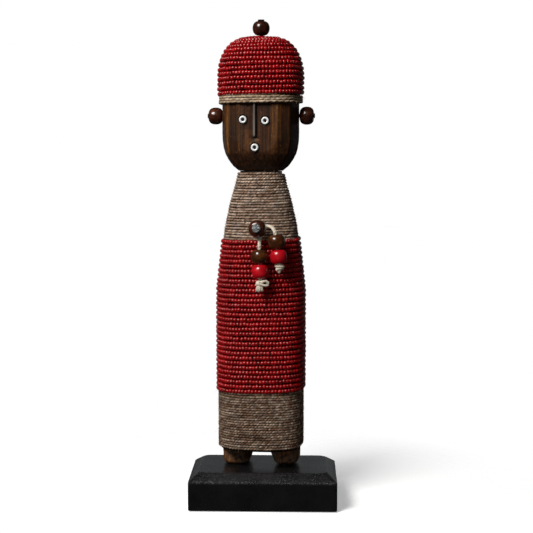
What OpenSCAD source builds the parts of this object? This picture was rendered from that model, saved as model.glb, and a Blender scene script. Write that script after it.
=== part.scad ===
// Standing carved doll on a block plinth: a wooden figure wound with twine and
// strung seed beads, with nailed-on wooden beads and two short pendant strings.
// Millimetres, +Z up. The origin is the middle of the plinth's underside, the
// plinth is square to the axes and the figure stands on it slightly turned.

/* [Plinth] */
// Width of the plinth, side to side
plinth_w = 103.2; // [90:0.1:130]
// Depth of the plinth, front to back
plinth_d = 64; // [58:0.5:80]
// Height of the plinth
plinth_h = 25.5; // [20:0.5:40]
// How far the chamfer runs in across the top
chamfer_run = 7; // [2:0.5:10]
// How far the chamfer drops down the sides
chamfer_drop = 5.5; // [2:0.5:10]

/* [Figure] */
// Sideways place of the figure on the plinth
figure_x = -1.8; // [-4:0.1:4]
// Front-to-back place of the figure on the plinth
figure_y = 3; // [0:0.5:5]
// Turn of the figure on the plinth, negative towards the viewer's left
figure_yaw = -5.5; // [-12:0.5:12]
// Half width of the wood inside the skirt
body_half_w = 28.3; // [26:0.1:30]
// Half width of the head at the ears
head_half_w = 26.8; // [25:0.1:28]
// Depth of the body over its width
body_depth_ratio = 0.8; // [0.7:0.01:0.9]
// Depth of the head over its width
head_depth_ratio = 0.86; // [0.8:0.01:0.92]
// Squareness of the outline seen from above, 2 is an ellipse
section_power = 2.8; // [2.2:0.1:3.4]
// Height of the narrow waist where the head sits on the shoulders
neck_z = 233.4; // [231:0.1:235]

/* [Wrappings] */
// Height where the skirt of twine starts
skirt_z = 39.8; // [38:0.1:42]
// Height where the red beads take over from the skirt
strand_z = 80.2; // [75:0.1:90]
// Height where the red beads end and the shoulder twine starts
shoulder_z = 188; // [180:0.5:190]
// Thickness of the twine
twine_t = 1.9; // [1.5:0.1:2.2]
// Thickness of a red seed bead
seed_t = 3.3; // [2.8:0.1:3.6]

/* [Hat] */
// Height of the underside of the twine headband
band_z = 280; // [278:0.5:282]
// Height where the hat's red beads start
hat_z = 286.2; // [285:0.1:288]
// Height where the hat starts to close in
dome_z = 300; // [296:0.5:304]
// Height of the top of the hat
hat_top_z = 327.3; // [324:0.1:330]

/* [Wooden beads] */
// Diameter of a wooden bead
bead_d = 11.6; // [10.5:0.1:11.8]
// Length of a wooden bead along its bore
bead_l = 9.7; // [9:0.1:9.8]
// Diameter of the bore through a wooden bead
bead_bore_d = 2.7; // [2.7:0.01:2.72]
// Diameter of a nail's shank
nail_d = 2.56; // [2.52:0.01:2.6]
// Height of the ear beads
ear_z = 272.3; // [268:0.1:274]
// Height of the chest bead's nail where it enters the twine
chest_z = 194.8; // [194.6:0.1:195.2]

/* [Face] */
// Sideways place of the nose ridge
nose_x = -1.6; // [-2:0.1:2]
// Width of the nose ridge
nose_w = 2.2; // [1.5:0.1:3]
// Height of the lower end of the nose ridge
nose_z = 258; // [256:0.5:262]
// Diameter of the white ring beads
ring_bead_d = 5.2; // [5:0.1:6.4]
// Diameter of the hole through a ring bead
ring_hole_d = 2.3; // [2.2:0.1:2.6]

/* [Pendant strings] */
// Diameter of the cord
cord_d = 2.5; // [2.3:0.1:2.5]
// Height of the middle of the left string's brown bead
left_bead_z = 176.3; // [176.2:0.1:177.1]
// Height of the middle of the right string's brown bead
right_bead_z = 186.4; // [186.4:0.1:186.8]

/* [Hidden] */

$fn = 48;
// Sides of every lofted ring
loft_sides = 32;
// Gap between a turning piece and its neighbour
play = 0.3;
// Gap round a pin in its wood
snug = 0.02;

// Half width of the bare wood against height, from the skirt to the ears
torso_outline = [
    [39, body_half_w], [150, body_half_w], [170, 26.3], [188, 24.4],
    [195.5, 23.5], [204, 21.7], [210.5, 20.4], [216.5, 18.8], [225, 16.4],
    [neck_z - 0.4, 14.4]
];
head_outline = [
    [neck_z, 15.5], [237.5, 19.4], [241.7, 22.5], [245.8, 24.7],
    [250, 25.9], [255, 26.6], [260, head_half_w], [dome_z, head_half_w]
];
wood_outline = concat(torso_outline, head_outline);
// Depth over width against height
depth_ratio = [[neck_z - 30, body_depth_ratio], [neck_z + 12, head_depth_ratio]];

function half_w(z) = lookup(z, wood_outline);
function ratio(z) = lookup(z, depth_ratio);

// One ring of a loft: a rounded rectangle-like curve with half sizes a and b
function ring(a, b, z, power = section_power) = [
    for (i = [0 : loft_sides - 1])
        let (t = 360 * i / loft_sides)
        let (r = pow(pow(abs(cos(t)) / a, power) + pow(abs(sin(t)) / b, power), -1 / power))
        [r * cos(t), r * sin(t), z]
];
// The wood's ring at a height, let out by a thickness
function wood_ring(z, grow = 0) = ring(half_w(z) + grow, half_w(z) * ratio(z) + grow, z);

// A closed solid from a stack of rings, lowest first
module loft(rings) {
    n = len(rings[0]);
    last = len(rings) - 1;
    sides = [
        for (k = [0 : last - 1]) for (i = [0 : n - 1])
            let (j = (i + 1) % n)
            each [
                [k * n + i, (k + 1) * n + i, (k + 1) * n + j],
                [k * n + i, (k + 1) * n + j, k * n + j]
            ]
    ];
    bottom = [for (i = [0 : n - 1]) i];
    top = [for (i = [n - 1 : -1 : 0]) last * n + i];
    polyhedron([for (r = rings) each r], concat(sides, [bottom, top]), convexity = 8);
}

// A closed sleeve: the rings run up the outside and back down the inside
module sleeve(rings) {
    n = len(rings[0]);
    count = len(rings);
    faces = [
        for (k = [0 : count - 1]) for (i = [0 : n - 1])
            let (j = (i + 1) % n)
            let (m = (k + 1) % count)
            each [
                [k * n + i, m * n + i, m * n + j],
                [k * n + i, m * n + j, k * n + j]
            ]
    ];
    polyhedron([for (r = rings) each r], faces, convexity = 8);
}

// Turns of twine or strung beads wound on the wood between two heights
module winding(z_low, z_high, rows, thickness) {
    pitch = (z_high - z_low) / rows;
    outside = [
        for (row = [0 : rows - 1]) each [
            wood_ring(z_low + (row + 0.04) * pitch, thickness * 0.62),
            wood_ring(z_low + (row + 0.5) * pitch, thickness)
        ],
        wood_ring(z_high - 0.04 * pitch, thickness * 0.62)
    ];
    levels = [for (p = wood_outline) if (p[0] > z_low && p[0] < z_high) p[0]];
    inside_up = [for (z = concat([z_low], levels, [z_high])) wood_ring(z, snug)];
    inside = [for (i = [len(inside_up) - 1 : -1 : 0]) inside_up[i]];
    sleeve(concat(outside, inside));
}

// Everything on the figure is placed in its own turned frame
module on_figure() {
    translate([figure_x, figure_y, 0])
        rotate([0, 0, figure_yaw])
            children();
}

// ---- Plinth ----
foot_x = [-16.2, 17.6];
foot_w = [21, 18.6];
foot_d = 22;
foot_y = 2;
screw_d = 4;
screw_l = 34;
screw_head_d = 8;
screw_head_t = 3;

module plinth() {
    corner = 1.5;
    color([0.05, 0.05, 0.05])
        difference() {
            intersection() {
                linear_extrude(plinth_h)
                    rounded_sheet(plinth_w, plinth_d, corner);
                rotate([90, 0, 0])
                    linear_extrude(plinth_d + 2, center = true)
                        chamfer_outline(plinth_w);
                rotate([90, 0, 90])
                    linear_extrude(plinth_w + 2, center = true)
                        chamfer_outline(plinth_d);
            }
            on_figure()
                for (x = foot_x)
                    translate([x, 0, -1]) {
                        cylinder(d = screw_d + 2 * snug, h = plinth_h + 2);
                        cylinder(d = screw_head_d + 1, h = screw_head_t + 1.5);
                    }
        }
}

// A rectangle with round corners, centred
module rounded_sheet(w, d, r) {
    square([w, d - 2 * r], center = true);
    square([w - 2 * r, d], center = true);
    for (x = [-1, 1]) for (y = [-1, 1])
        translate([x * (w / 2 - r), y * (d / 2 - r)])
            circle(r);
}

// Upright outline of the block, seen square to one of its sides
module chamfer_outline(w) {
    polygon([
        [-w / 2, 0], [w / 2, 0], [w / 2, plinth_h - chamfer_drop],
        [w / 2 - chamfer_run, plinth_h], [-w / 2 + chamfer_run, plinth_h],
        [-w / 2, plinth_h - chamfer_drop]
    ]);
}

module plinth_screws() {
    color("silver")
        on_figure()
            for (x = foot_x)
                translate([x, 0, 0.5]) {
                    cylinder(d = screw_head_d, h = screw_head_t);
                    cylinder(d = screw_d, h = screw_l);
                }
}

// ---- Carved wooden figure ----
face_y = -21.6;
eye_x = [-9.7, 5.55];
eye_z = [269.2, 268.4];
mouth_z = 250.3;
chin_z = 236;
socket_d = 7;
socket_t = 0.6;
pin_d = 1;
pin_l = 9;
// Tilt of the chest nail above level
chest_tilt = 4;
chest_x = 1;
nail_in_wood = 14;

// Puts a piece on the chest with its own z pointing out of the twine
module at_chest() {
    surface_y = -(half_w(chest_z) * ratio(chest_z) + twine_t);
    translate([chest_x, surface_y, chest_z])
        rotate([90 - chest_tilt, 0, 0])
            children();
}

// Puts a piece beside an ear with its own z pointing out of the head
module at_ear(side) {
    translate([side * head_half_w, 0, ear_z])
        rotate([0, 90 * side, 0])
            children();
}

module at_eye(i) {
    translate([eye_x[i], face_y, eye_z[i]])
        rotate([90, 0, 0])
            children();
}

module at_mouth() {
    translate([nose_x, face_y, mouth_z])
        rotate([90, 0, 0])
            children();
}

module nail_hole(depth) {
    translate([0, 0, -depth])
        cylinder(d = nail_d + 2 * snug, h = depth + 8);
}

module socket() {
    translate([0, 0, -socket_t])
        cylinder(d = socket_d, h = 6);
    translate([0, 0, -pin_l])
        cylinder(d = pin_d + 2 * snug, h = pin_l);
}

// Dome of the wood under the hat
dome_power = 2.6;
wood_top_z = hat_top_z - seed_t;
function dome_ring(t, half, top) =
    let (c = pow(cos(t), 2 / dome_power))
    let (s = pow(sin(t), 2 / dome_power))
    ring(half * c, half * head_depth_ratio * c, dome_z + (top - dome_z) * s);

module leg(i) {
    half = foot_w[i] / 2;
    translate([foot_x[i], foot_y, 0])
        loft([
            ring(half - 3.2, foot_d / 2 - 3, plinth_h, 4),
            ring(half - 1.6, foot_d / 2 - 1.4, plinth_h + 0.8, 4),
            ring(half - 0.6, foot_d / 2 - 0.4, plinth_h + 2.4, 4),
            ring(half - 0.2, foot_d / 2, plinth_h + 4.5, 4),
            ring(half + 0.8, foot_d / 2 + 0.6, skirt_z + 2, 4)
        ]);
}

// The face is cut back flat on both sides of the nose, and all across below it
module face_cuts() {
    cheek = 30;
    for (side = [-1, 1])
        translate([nose_x + side * (nose_w + cheek) / 2 - cheek / 2, face_y - 10, nose_z])
            cube([cheek, 10, band_z - nose_z - 0.5]);
    translate([nose_x - cheek, face_y - 10, chin_z])
        cube([2 * cheek, 10, nose_z - chin_z + 0.01]);
}

module carved_figure() {
    body = [for (p = wood_outline) wood_ring(p[0])];
    dome = [for (t = [15 : 15 : 75]) dome_ring(t, head_half_w, wood_top_z)];
    top = [dome_ring(84, head_half_w, wood_top_z)];
    color([0.22, 0.12, 0.06])
        on_figure()
            difference() {
                union() {
                    loft(concat(body, dome, top));
                    leg(0);
                    leg(1);
                }
                face_cuts();
                for (i = [0, 1])
                    at_eye(i) socket();
                at_mouth() socket();
                for (side = [-1, 1])
                    at_ear(side) nail_hole(nail_in_wood);
                at_chest() nail_hole(nail_in_wood);
                translate([0, 0, wood_top_z - nail_in_wood])
                    cylinder(d = nail_d + 2 * snug, h = nail_in_wood + 5);
                for (x = foot_x)
                    translate([x, 0, plinth_h - 1])
                        cylinder(d = screw_d + 2 * snug, h = screw_l + 1.5 - plinth_h);
            }
}

// ---- Wrappings ----
module skirt_twine() {
    color([0.55, 0.47, 0.38])
        on_figure()
            winding(skirt_z, strand_z - 0.1, 22, twine_t);
}

module body_bead_strand() {
    color([0.65, 0.03, 0.05])
        on_figure()
            winding(strand_z, shoulder_z - 0.1, 32, seed_t);
}

module shoulder_twine() {
    color([0.55, 0.47, 0.38])
        on_figure()
            difference() {
                winding(shoulder_z, neck_z - 0.5, 23, twine_t);
                at_chest() nail_hole(8);
            }
}

module headband_twine() {
    color([0.6, 0.5, 0.38])
        on_figure()
            winding(band_z, hat_z - 0.1, 3, 2.2);
}

module hat_bead_strand() {
    side_rows = 4;
    side_pitch = (dome_z - hat_z) / side_rows;
    dome_rows = 11;
    step = 84 / dome_rows;
    outer_half = head_half_w + seed_t;
    valley = 1.2;
    side = [
        for (row = [0 : side_rows - 1]) each [
            wood_ring(hat_z + row * side_pitch, seed_t - valley),
            wood_ring(hat_z + (row + 0.5) * side_pitch, seed_t)
        ],
        wood_ring(dome_z, seed_t - valley)
    ];
    dome = [
        for (row = [0 : dome_rows - 1]) each [
            dome_ring((row + 0.5) * step, outer_half, hat_top_z),
            dome_ring((row + 1) * step, outer_half - valley, hat_top_z - valley)
        ]
    ];
    inner_dome = [
        for (t = [84 : -12 : 12]) dome_ring(t, head_half_w + 0.1, wood_top_z + 0.3)
    ];
    inner_side = [wood_ring(dome_z, 0.1), wood_ring(hat_z, 0.1)];
    color([0.65, 0.03, 0.05])
        on_figure()
            sleeve(concat(side, dome, inner_dome, inner_side));
}

// ---- Face beads ----
ring_bead_t = 2.4;

module ring_bead() {
    wall = (ring_bead_d - ring_hole_d) / 2;
    lip = wall / 2;
    translate([0, 0, -socket_t])
        rotate_extrude()
            translate([ring_hole_d / 2, 0]) {
                translate([0, lip])
                    square([wall, ring_bead_t - 2 * lip]);
                translate([lip, lip])
                    circle(lip);
                translate([lip, ring_bead_t - lip])
                    circle(lip);
            }
}

module left_eye_bead() {
    color("white")
        on_figure() at_eye(0) ring_bead();
}

module right_eye_bead() {
    color("white")
        on_figure() at_eye(1) ring_bead();
}

module mouth_bead() {
    color("white")
        on_figure() at_mouth() ring_bead();
}

module pin() {
    head_d = 2.1;
    head_t = 0.5;
    translate([0, 0, -pin_l + 1])
        cylinder(d = pin_d, h = pin_l);
    translate([0, 0, 0.6])
        cylinder(d = head_d, h = head_t);
}

module face_pins() {
    color([0.1, 0.08, 0.07])
        on_figure() {
            at_eye(0) pin();
            at_eye(1) pin();
            at_mouth() pin();
        }
}

// ---- Wooden beads ----
// A barrel bead standing on its own z, with a true bore right through
module wooden_bead(d = bead_d, l = bead_l) {
    bulge = 2.35;
    flat = 2.2;
    wall = [
        for (t = [-90 : 10 : 90])
            let (c = pow(max(cos(t), 0), 2 / bulge))
            let (s = sign(t) * pow(abs(sin(t)), 2 / bulge))
            [flat + (d / 2 - flat) * c, l / 2 + s * l / 2]
    ];
    rotate_extrude()
        polygon(concat([[bead_bore_d / 2, 0]], wall, [[bead_bore_d / 2, l]]));
}

// A nail along z: z = 0 is the wood's surface, and the head's underside is at grip
module nail(grip, head_d, head_t, depth = nail_in_wood) {
    translate([0, 0, -depth + 0.5])
        cylinder(d = nail_d, h = depth + grip);
    translate([0, 0, grip])
        cylinder(d = head_d, h = head_t);
}

left_ear_d = 11.8;
right_ear_d = 12.4;

module left_ear_bead() {
    color([0.25, 0.1, 0.05])
        on_figure() at_ear(-1) translate([0, 0, play]) wooden_bead(left_ear_d);
}

module right_ear_bead() {
    color([0.25, 0.1, 0.05])
        on_figure() at_ear(1) translate([0, 0, play]) wooden_bead(right_ear_d);
}

module ear_nails() {
    color([0.2, 0.18, 0.17])
        on_figure()
            for (side = [-1, 1])
                at_ear(side) nail(bead_l + 2 * play, 3.4, 0.4);
}

module crown_bead() {
    color([0.25, 0.1, 0.05])
        on_figure() translate([0, 0, hat_top_z + play]) wooden_bead();
}

module crown_nail() {
    color([0.1, 0.08, 0.07])
        on_figure()
            translate([0, 0, wood_top_z])
                nail(seed_t + bead_l + 2 * play, 4.6, 0.7);
}

// Room for the cord between the twine and the chest bead
chest_gap = cord_d + 2 * play + 0.3;

module chest_bead() {
    color([0.2, 0.08, 0.04])
        on_figure() at_chest() translate([0, 0, chest_gap]) wooden_bead();
}

module chest_nail() {
    color("silver")
        on_figure() at_chest() nail(chest_gap + bead_l + play, 6, 0.8);
}

// ---- Pendant strings ----
// Routes in the figure's frame, from the loop behind the chest bead to the knot.
// The side pivot is the first point, and the forward pivot is a point further down.
left_route = [
    [2.4, -22.7, 192.1], [2.4, -23.5, 190.4], [2.4, -24.9, 188.9],
    [2.4, -26.5, 187.5], [2.4, -28.0, 186.0], [2.4, -29.2, 184.1],
    [2.4, -29.7, 182.0], [2.5, -29.9, 180.0], [2.6, -30.1, 178.0],
    [2.7, -30.3, 176.0], [2.8, -30.5, 174.0], [2.9, -30.7, 172.0],
    [3.0, -30.9, 170.0], [3.1, -31.1, 168.0], [3.2, -31.3, 166.0],
    [3.3, -31.5, 164.0], [3.46, -31.81, 160.9]
];
right_route = [
    [6.0, -22.1, 196.7], [7.7, -22.8, 196.8], [9.4, -23.8, 196.6],
    [10.8, -25.2, 195.9], [11.9, -26.5, 194.9], [12.7, -27.5, 193.5],
    [13.2, -28.0, 192.0], [13.5, -28.1, 190.0], [13.8, -28.2, 188.0],
    [14.1, -28.3, 186.0], [14.4, -28.4, 184.0], [14.7, -28.5, 182.0],
    [15.0, -28.6, 180.0], [15.3, -28.7, 178.0], [15.6, -28.8, 176.0],
    [15.9, -28.9, 174.0], [16.33, -29.04, 171.15]
];
// Where each cord's top length ends, short of the forward pivot's round end
left_top_end = [2.4, -28.3, 185.5];
right_top_end = [8.0, -23.0, 196.8];
// The forward pivot's place in each route
left_pivot = 5;
right_pivot = 2;
// Where each route's straight lower run starts
straight = 6;
cord_sides = 8;

function unit(v) = v / norm(v);

// Eight points round a cord's centre, square to its direction
function cord_ring(middle, t, r) =
    let (u = unit(cross(t, [0, 1, 0])))
    let (v = cross(t, u))
    [
        for (i = [0 : cord_sides - 1])
            let (a = 360 * (i + 0.5) / cord_sides)
            middle + (u * cos(a) + v * sin(a)) * r
    ];

// Length of cord along a route, with its upper end rounded where it turns
module cord_link(route) {
    r = cord_d / 2;
    last = len(route) - 1;
    start = unit(route[1] - route[0]);
    rounded = [
        for (a = [70 : -35 : 35])
            cord_ring(route[0] - start * r * sin(a), start, r * cos(a))
    ];
    tube = [
        for (k = [0 : last])
            let (t = unit(route[min(k + 1, last)] - route[max(k - 1, 0)]))
            cord_ring(route[k], t, r)
    ];
    loft(concat(rounded, tube));
}

// Turns a piece's own z along a route's straight lower run, at a given height
module on_run(route, z) {
    low = route[len(route) - 1];
    up = unit(route[straight] - low);
    middle = low + up * ((z - low[2]) / up[2]);
    translate(middle)
        rotate([0, acos(up[2]), atan2(up[1], up[0])])
            children();
}

module string_bead(route, z) {
    on_run(route, z)
        translate([0, 0, -bead_l / 2])
            wooden_bead();
}

// Overhand knot as a rounded lump with a short tail under it
module knot(route, d, h, tail) {
    on_run(route, route[len(route) - 1][2])
        translate([0, 0, -h])
            union() {
                rotate_extrude()
                    polygon([
                        [0, 0], [d * 0.34, 0], [d / 2, h * 0.3],
                        [d / 2, h * 0.7], [d * 0.34, h], [0, h]
                    ]);
                translate([0, 0, -tail])
                    cylinder(d1 = cord_d * 1.3, d2 = cord_d, h = tail + h / 2);
            }
}

bead_step = bead_l + 0.45;
twine_white = [0.85, 0.8, 0.68];
bead_brown = [0.3, 0.16, 0.06];
bead_red = [0.75, 0.02, 0.08];

module cord_loop() {
    loop_r = 2.65;
    color(twine_white)
        on_figure() at_chest() translate([0, 0, cord_d / 2 + 0.2])
            rotate([0, 0, 40])
                rotate_extrude(angle = 195)
                    translate([loop_r, 0])
                        circle(d = cord_d);
}

module left_cord_top() {
    color(twine_white)
        on_figure() cord_link([for (i = [0 : 3]) left_route[i], left_top_end]);
}

module left_cord() {
    color(twine_white)
        on_figure() cord_link([for (i = [left_pivot : len(left_route) - 1]) left_route[i]]);
}

module left_brown_bead() {
    color(bead_brown)
        on_figure() string_bead(left_route, left_bead_z);
}

module left_red_bead() {
    color(bead_red)
        on_figure() string_bead(left_route, left_bead_z - bead_step);
}

module left_knot() {
    color(twine_white)
        on_figure() knot(left_route, 7, 5, 3);
}

module right_cord_top() {
    color(twine_white)
        on_figure() cord_link([right_route[0], right_route[1], right_top_end]);
}

module right_cord() {
    color(twine_white)
        on_figure() cord_link([for (i = [right_pivot : len(right_route) - 1]) right_route[i]]);
}

module right_brown_bead() {
    color(bead_brown)
        on_figure() string_bead(right_route, right_bead_z);
}

module right_red_bead() {
    color(bead_red)
        on_figure() string_bead(right_route, right_bead_z - bead_step);
}

module right_knot() {
    color(twine_white)
        on_figure() knot(right_route, 6, 4.2, 2);
}

plinth();
plinth_screws();
carved_figure();
skirt_twine();
body_bead_strand();
shoulder_twine();
headband_twine();
hat_bead_strand();
left_eye_bead();
right_eye_bead();
mouth_bead();
face_pins();
left_ear_bead();
right_ear_bead();
ear_nails();
crown_bead();
crown_nail();
chest_bead();
chest_nail();
cord_loop();
left_cord_top();
left_cord();
left_brown_bead();
left_red_bead();
left_knot();
right_cord_top();
right_cord();
right_brown_bead();
right_red_bead();
right_knot();
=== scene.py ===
"""Looks for the carved doll: wound twine, strung seed beads, carved and rubbed wood,
turned wooden beads and two short knotted strings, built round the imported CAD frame.

Shapes are worked out in millimetres in the figure's own turned frame, and put in
place in metres by to_row().
"""

import math

import bpy
import numpy as np
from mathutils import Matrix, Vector


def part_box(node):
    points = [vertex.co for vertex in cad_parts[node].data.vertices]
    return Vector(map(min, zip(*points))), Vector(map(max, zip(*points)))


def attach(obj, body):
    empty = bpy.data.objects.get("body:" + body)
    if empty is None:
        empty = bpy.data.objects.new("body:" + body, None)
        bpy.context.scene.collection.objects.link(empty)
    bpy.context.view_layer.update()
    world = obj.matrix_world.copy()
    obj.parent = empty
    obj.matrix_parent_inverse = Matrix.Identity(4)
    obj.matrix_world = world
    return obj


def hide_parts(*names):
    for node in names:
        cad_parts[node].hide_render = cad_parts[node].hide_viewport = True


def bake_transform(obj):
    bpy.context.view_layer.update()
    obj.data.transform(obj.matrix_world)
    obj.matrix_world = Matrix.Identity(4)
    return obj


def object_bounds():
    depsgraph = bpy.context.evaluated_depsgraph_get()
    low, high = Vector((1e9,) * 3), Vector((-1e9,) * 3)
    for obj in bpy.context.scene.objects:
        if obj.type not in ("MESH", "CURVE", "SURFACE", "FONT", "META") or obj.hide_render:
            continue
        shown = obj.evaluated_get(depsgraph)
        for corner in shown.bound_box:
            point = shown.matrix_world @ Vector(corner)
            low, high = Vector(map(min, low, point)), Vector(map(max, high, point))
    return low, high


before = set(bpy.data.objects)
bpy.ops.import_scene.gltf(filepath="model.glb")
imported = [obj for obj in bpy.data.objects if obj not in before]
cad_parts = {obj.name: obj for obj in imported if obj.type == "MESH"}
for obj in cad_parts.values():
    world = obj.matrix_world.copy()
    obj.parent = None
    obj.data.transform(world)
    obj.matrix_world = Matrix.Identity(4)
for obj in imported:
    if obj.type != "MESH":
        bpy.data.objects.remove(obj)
cad_bounds = [list(v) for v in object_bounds()]

MM = 0.001
FIGURE_YAW = math.radians(-5.5)
SECTION_POWER = 2.8


def middle(node):
    low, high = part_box(node)
    return (low + high) / 2


# The figure's axis runs up through the crown bead.
AXIS = middle("crown_bead")


def to_row(points):
    """Figure-frame millimetres to row-frame metres."""
    p = np.asarray(points, float).reshape(-1, 3)
    c, s = math.cos(FIGURE_YAW), math.sin(FIGURE_YAW)
    x = p[:, 0] * c - p[:, 1] * s
    y = p[:, 0] * s + p[:, 1] * c
    return np.stack([x * MM + AXIS.x, y * MM + AXIS.y, p[:, 2] * MM], axis=1)


# ---------------------------------------------------------------- camera
scene = bpy.context.scene
camera_data = bpy.data.cameras.new("camera")
camera_data.lens = 81.05
camera_data.sensor_width = 36
camera_data.clip_end = 50
# The camera looks down a little and to the viewer's left, in degrees
CAMERA_DOWN, CAMERA_YAW = 5.45, 1.5
camera = bpy.data.objects.new("camera", camera_data)
camera.location = (0.0240, -0.8396, 0.2472)
camera.rotation_euler = (math.radians(90 - CAMERA_DOWN), 0, math.radians(CAMERA_YAW))
scene.collection.objects.link(camera)
scene.camera = camera

# ---------------------------------------------------------------- routes
# The strings' routes, in figure-frame millimetres, the same points as in the CAD.
LEFT_ROUTE = [
    (2.4, -22.7, 192.1), (2.4, -23.5, 190.4), (2.4, -24.9, 188.9),
    (2.4, -26.5, 187.5), (2.4, -28.0, 186.0), (2.4, -29.2, 184.1),
    (2.4, -29.7, 182.0), (2.5, -29.9, 180.0), (2.6, -30.1, 178.0),
    (2.7, -30.3, 176.0), (2.8, -30.5, 174.0), (2.9, -30.7, 172.0),
    (3.0, -30.9, 170.0), (3.1, -31.1, 168.0), (3.2, -31.3, 166.0),
    (3.3, -31.5, 164.0), (3.46, -31.81, 160.9),
]
RIGHT_ROUTE = [
    (6.0, -22.1, 196.7), (7.7, -22.8, 196.8), (9.4, -23.8, 196.6),
    (10.8, -25.2, 195.9), (11.9, -26.5, 194.9), (12.7, -27.5, 193.5),
    (13.2, -28.0, 192.0), (13.5, -28.1, 190.0), (13.8, -28.2, 188.0),
    (14.1, -28.3, 186.0), (14.4, -28.4, 184.0), (14.7, -28.5, 182.0),
    (15.0, -28.6, 180.0), (15.3, -28.7, 178.0), (15.6, -28.8, 176.0),
    (15.9, -28.9, 174.0), (16.33, -29.04, 171.15),
]

# ---------------------------------------------------------------- small tools


def noise_along(seed, x, period):
    """Smooth random values from -1 to 1 along x, the same ones each time."""
    values = np.random.default_rng(seed).uniform(-1, 1, 4096)
    t = np.asarray(x, float) / period
    i = np.floor(t).astype(int)
    f = t - i
    f = f * f * (3 - 2 * f)
    return values[i % 4096] * (1 - f) + values[(i + 1) % 4096] * f


def ease(x, low, high):
    t = np.clip((np.asarray(x, float) - low) / (high - low), 0, 1)
    return t * t * (3 - 2 * t)


def unit(v):
    v = np.asarray(v, float)
    return v / np.maximum(np.linalg.norm(v, axis=-1, keepdims=True), 1e-12)


def circle(n):
    return np.arange(n) * 2 * math.pi / n


def round_axis(theta, r, z):
    """Points at angles theta round the upright axis, r out from it and z up."""
    x = r * np.cos(theta)
    return np.stack([x, r * np.sin(theta), np.broadcast_to(z, x.shape)], -1)


def spokes(a, u, v):
    """Directions at angles a, from u round towards v."""
    return np.cos(a)[..., None] * u + np.sin(a)[..., None] * v


def run_of(line):
    """The distance along a line at each of its points."""
    return np.concatenate([[0], np.cumsum(np.linalg.norm(np.diff(line, axis=0), axis=1))])


def heights(node):
    return [v.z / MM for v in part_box(node)]


def ring_faces(n, m, closed=False):
    """Faces between n rings of m points. If closed, the last ring joins the first."""
    k, i = np.meshgrid(np.arange(n if closed else n - 1), np.arange(m), indexing="ij")
    j, above = (i + 1) % m, (k + 1) % n
    return np.stack([k * m + i, k * m + j, above * m + j, above * m + i], -1).reshape(-1, 4)


def smooth_line(points, count):
    """A Catmull-Rom line through the points, resampled evenly."""
    p = np.asarray(points, float)
    q = np.vstack([2 * p[0] - p[1], p, 2 * p[-1] - p[-2]])
    fine = []
    for i in range(1, len(q) - 2):
        for t in np.linspace(0, 1, 12, endpoint=False):
            a, b, c, d = q[i - 1 : i + 3]
            fine.append(
                0.5 * (2 * b + (c - a) * t + (2 * a - 5 * b + 4 * c - d) * t * t
                       + (3 * b - a - 3 * c + d) * t ** 3)
            )
    fine.append(p[-1])
    return resample(np.array(fine), count)


def resample(line, count):
    run = run_of(line)
    at = np.linspace(0, run[-1], count)
    return np.stack([np.interp(at, run, line[:, k]) for k in range(3)], axis=1)


class Build:
    """Gathers vertices, faces and per-point values for one mesh."""

    def __init__(self):
        self.points, self.faces, self.values, self.count = [], [], {}, 0

    def add(self, points, faces, **values):
        points = np.asarray(points, float).reshape(-1, 3)
        for f in faces:
            self.faces.append((np.asarray(f) + self.count).tolist())
        self.points.append(points)
        for name in sorted(set(self.values) | set(values)):
            had = self.values.setdefault(name, [np.zeros(self.count)] if self.count else [])
            new = values.get(name, 0.0)
            had.append(np.broadcast_to(np.asarray(new, float), (len(points),)))
        self.count += len(points)

    def grid(self, rows, cap=True, **values):
        """A tube from rows of points, shape (rows, columns, 3)."""
        rows = np.asarray(rows, float)
        n, m = rows.shape[:2]
        faces = [ring_faces(n, m)]
        if cap:
            faces += [np.arange(m)[::-1][None], ((n - 1) * m + np.arange(m))[None]]
        flat = {
            name: np.broadcast_to(np.asarray(v, float), (n, m)).reshape(-1)
            for name, v in values.items()
        }
        self.add(rows.reshape(-1, 3), faces, **flat)

    def object(self, name, material, body, replaced=(), local=True):
        mesh = bpy.data.meshes.new(name)
        points = np.vstack(self.points)
        if local:
            points = to_row(points)
        faces = [f for block in self.faces for f in block]
        mesh.from_pydata(points.tolist(), [], faces)
        for key, parts in self.values.items():
            attribute = mesh.attributes.new(key, "FLOAT", "POINT")
            attribute.data.foreach_set("value", np.concatenate(parts).astype(np.float32))
        mesh.polygons.foreach_set("use_smooth", [True] * len(mesh.polygons))
        mesh.materials.append(material)
        mesh.update()
        o = bpy.data.objects.new(name, mesh)
        scene.collection.objects.link(o)
        if body:
            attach(o, body)
        if replaced:
            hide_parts(*replaced)
        return o


def frames(line):
    """Tangents and two cross directions that don't twist, along a line."""
    t = unit(np.gradient(line, axis=0))
    u = np.zeros_like(line)
    start = np.array([0, 1.0, 0]) if abs(t[0][1]) < 0.9 else np.array([1.0, 0, 0])
    u[0] = unit(start - t[0] * (start @ t[0]))
    for k in range(1, len(line)):
        u[k] = unit(u[k - 1] - t[k] * (u[k - 1] @ t[k]))
    return t, u, np.cross(t, u)


def tube(build, line, radius, sides=10, **values):
    """A round tube with ends that close in, along a line of points."""
    line = np.asarray(line, float)
    r = np.broadcast_to(radius, (len(line),))
    t, u, v = frames(line)
    ring = spokes(circle(sides), u[:, None], v[:, None])
    build.grid(line[:, None] + ring * r[:, None, None], **values)


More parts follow.
